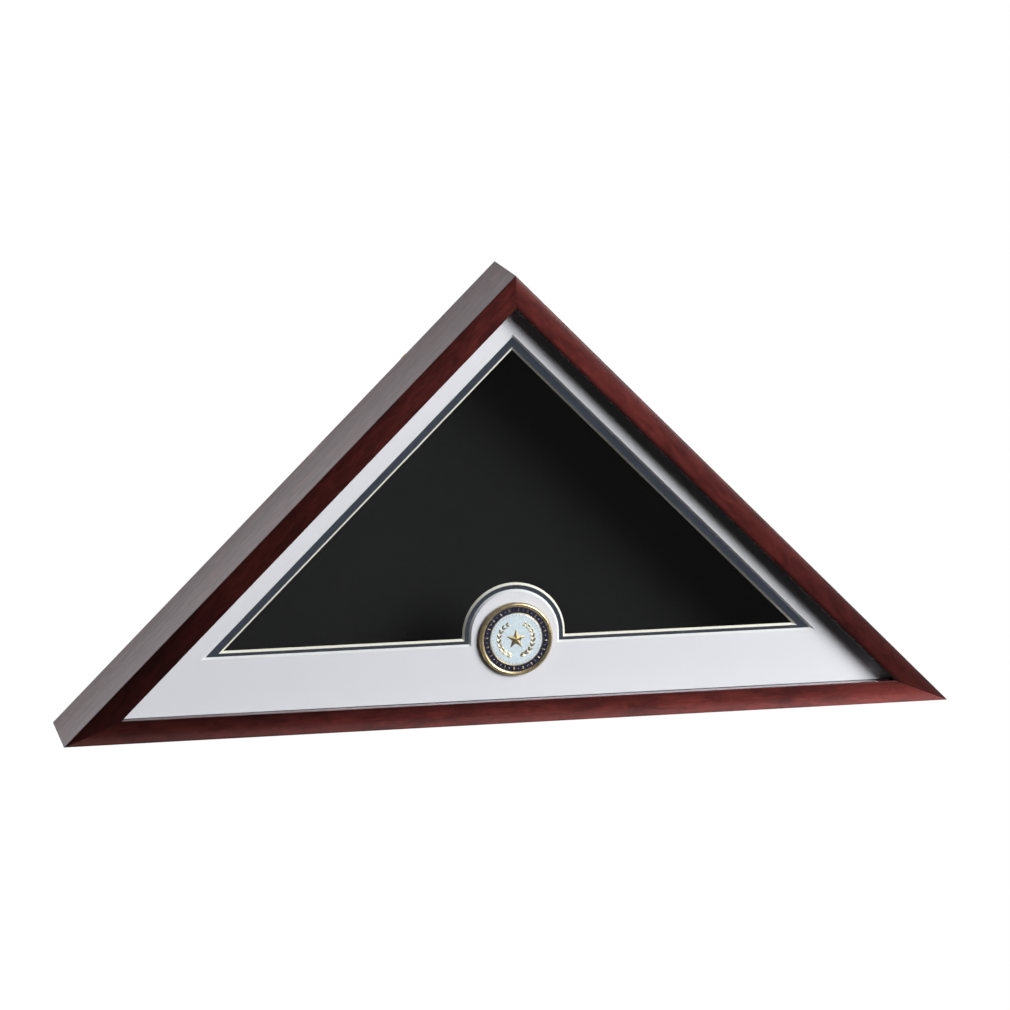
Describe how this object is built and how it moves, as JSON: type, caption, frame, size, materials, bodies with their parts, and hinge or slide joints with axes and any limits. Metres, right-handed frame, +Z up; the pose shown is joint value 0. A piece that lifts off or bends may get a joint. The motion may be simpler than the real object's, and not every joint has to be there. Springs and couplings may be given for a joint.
{
  "type": "folded flag display case",
  "caption": "Triangular wooden shadow box for a folded flag, with glass, a double window mat, a round medallion and a lift-off back panel held by turn buttons.",
  "frame": {"origin": "middle of the case's footprint on its base plane, which the depth of the back hardware counts in", "axes": "+X along the base to the right seen from the front, +Y from the front towards the back, +Z up"},
  "size_m": [0.672, 0.0804, 0.336],
  "materials": {
    "rail_wood": "satin lacquer",
    "nail_steel": "plain",
    "glass": "polished",
    "spacer_plastic": "matt",
    "mat_white": "matt, fine tooth",
    "mat_navy": "matt, fine tooth",
    "medallion_gold": "polished",
    "emblem_gold": "polished",
    "enamel_navy": "gloss",
    "enamel_pale": "gloss",
    "adhesive_foam": "matt",
    "liner_fabric": "matt",
    "panel_board": "bare hardboard",
    "velvet": "velvet pile",
    "screw_steel": "zinc plated",
    "button_steel": "black",
    "hanger_brass": "brass plated",
    "bumper_rubber": "matt"
  },
  "bodies": {
    "case": {"rail_left": "rail_wood", "rail_right": "rail_wood", "rail_base": "rail_wood", "corner_v_nails": "nail_steel", "glass_pane": "glass", "glass_spacer_left": "spacer_plastic", "glass_spacer_right": "spacer_plastic", "glass_spacer_base": "spacer_plastic", "mat_outer": "mat_white", "mat_inner": "mat_navy", "medallion_disc": "medallion_gold", "medallion_enamel_ring": "enamel_navy", "medallion_enamel_field": "enamel_pale", "medallion_emblem": "emblem_gold", "medallion_adhesive_pad": "adhesive_foam", "liner_left": "liner_fabric", "liner_right": "liner_fabric", "liner_base": "liner_fabric", "turn_button_screws": "screw_steel", "hanger_strap_left": "hanger_brass", "hanger_strap_right": "hanger_brass", "hanger_screws": "screw_steel", "wall_bumpers": "bumper_rubber"},
    "back": {"back_panel": "panel_board", "velvet_lining": "velvet"},
    "button_left_upper": {"turn_button_left_upper": "button_steel"},
    "button_left_lower": {"turn_button_left_lower": "button_steel"},
    "button_right_upper": {"turn_button_right_upper": "button_steel"},
    "button_right_lower": {"turn_button_right_lower": "button_steel"},
    "button_base_left": {"turn_button_base_left": "button_steel"},
    "button_base_right": {"turn_button_base_right": "button_steel"},
    "ring_left": {"hanger_ring_left": "hanger_brass"},
    "ring_right": {"hanger_ring_right": "hanger_brass"}
  },
  "joints": [
    {"name": "back_lift_off", "type": "slide", "parent": "case", "child": "back", "axis": [0, 1, 0], "range_m": [0, 0.12]},
    {"name": "button_left_upper_turn", "type": "hinge", "parent": "case", "child": "button_left_upper", "pos_m": [-0.11035, 0.0367, 0.21787], "axis": [0, 1, 0], "range_deg": [-90, 0]},
    {"name": "button_left_lower_turn", "type": "hinge", "parent": "case", "child": "button_left_lower", "pos_m": [-0.23131, 0.0367, 0.09691], "axis": [0, 1, 0], "range_deg": [-90, 0]},
    {"name": "button_right_upper_turn", "type": "hinge", "parent": "case", "child": "button_right_upper", "pos_m": [0.11035, 0.0367, 0.21787], "axis": [0, 1, 0], "range_deg": [-90, 0]},
    {"name": "button_right_lower_turn", "type": "hinge", "parent": "case", "child": "button_right_lower", "pos_m": [0.23131, 0.0367, 0.09691], "axis": [0, 1, 0], "range_deg": [-90, 0]},
    {"name": "button_base_left_turn", "type": "hinge", "parent": "case", "child": "button_base_left", "pos_m": [-0.1344, 0.0367, 0.0055], "axis": [0, 1, 0], "range_deg": [-90, 0]},
    {"name": "button_base_right_turn", "type": "hinge", "parent": "case", "child": "button_base_right", "pos_m": [0.1344, 0.0367, 0.0055], "axis": [0, 1, 0], "range_deg": [-90, 0]},
    {"name": "ring_left_swing", "type": "hinge", "parent": "case", "child": "ring_left", "pos_m": [-0.06399, 0.038, 0.26423], "axis": [0.7071, 0, -0.7071], "range_deg": [0, 165]},
    {"name": "ring_right_swing", "type": "hinge", "parent": "case", "child": "ring_right", "pos_m": [0.06399, 0.038, 0.26423], "axis": [0.7071, 0, 0.7071], "range_deg": [0, 165]}
  ]
}
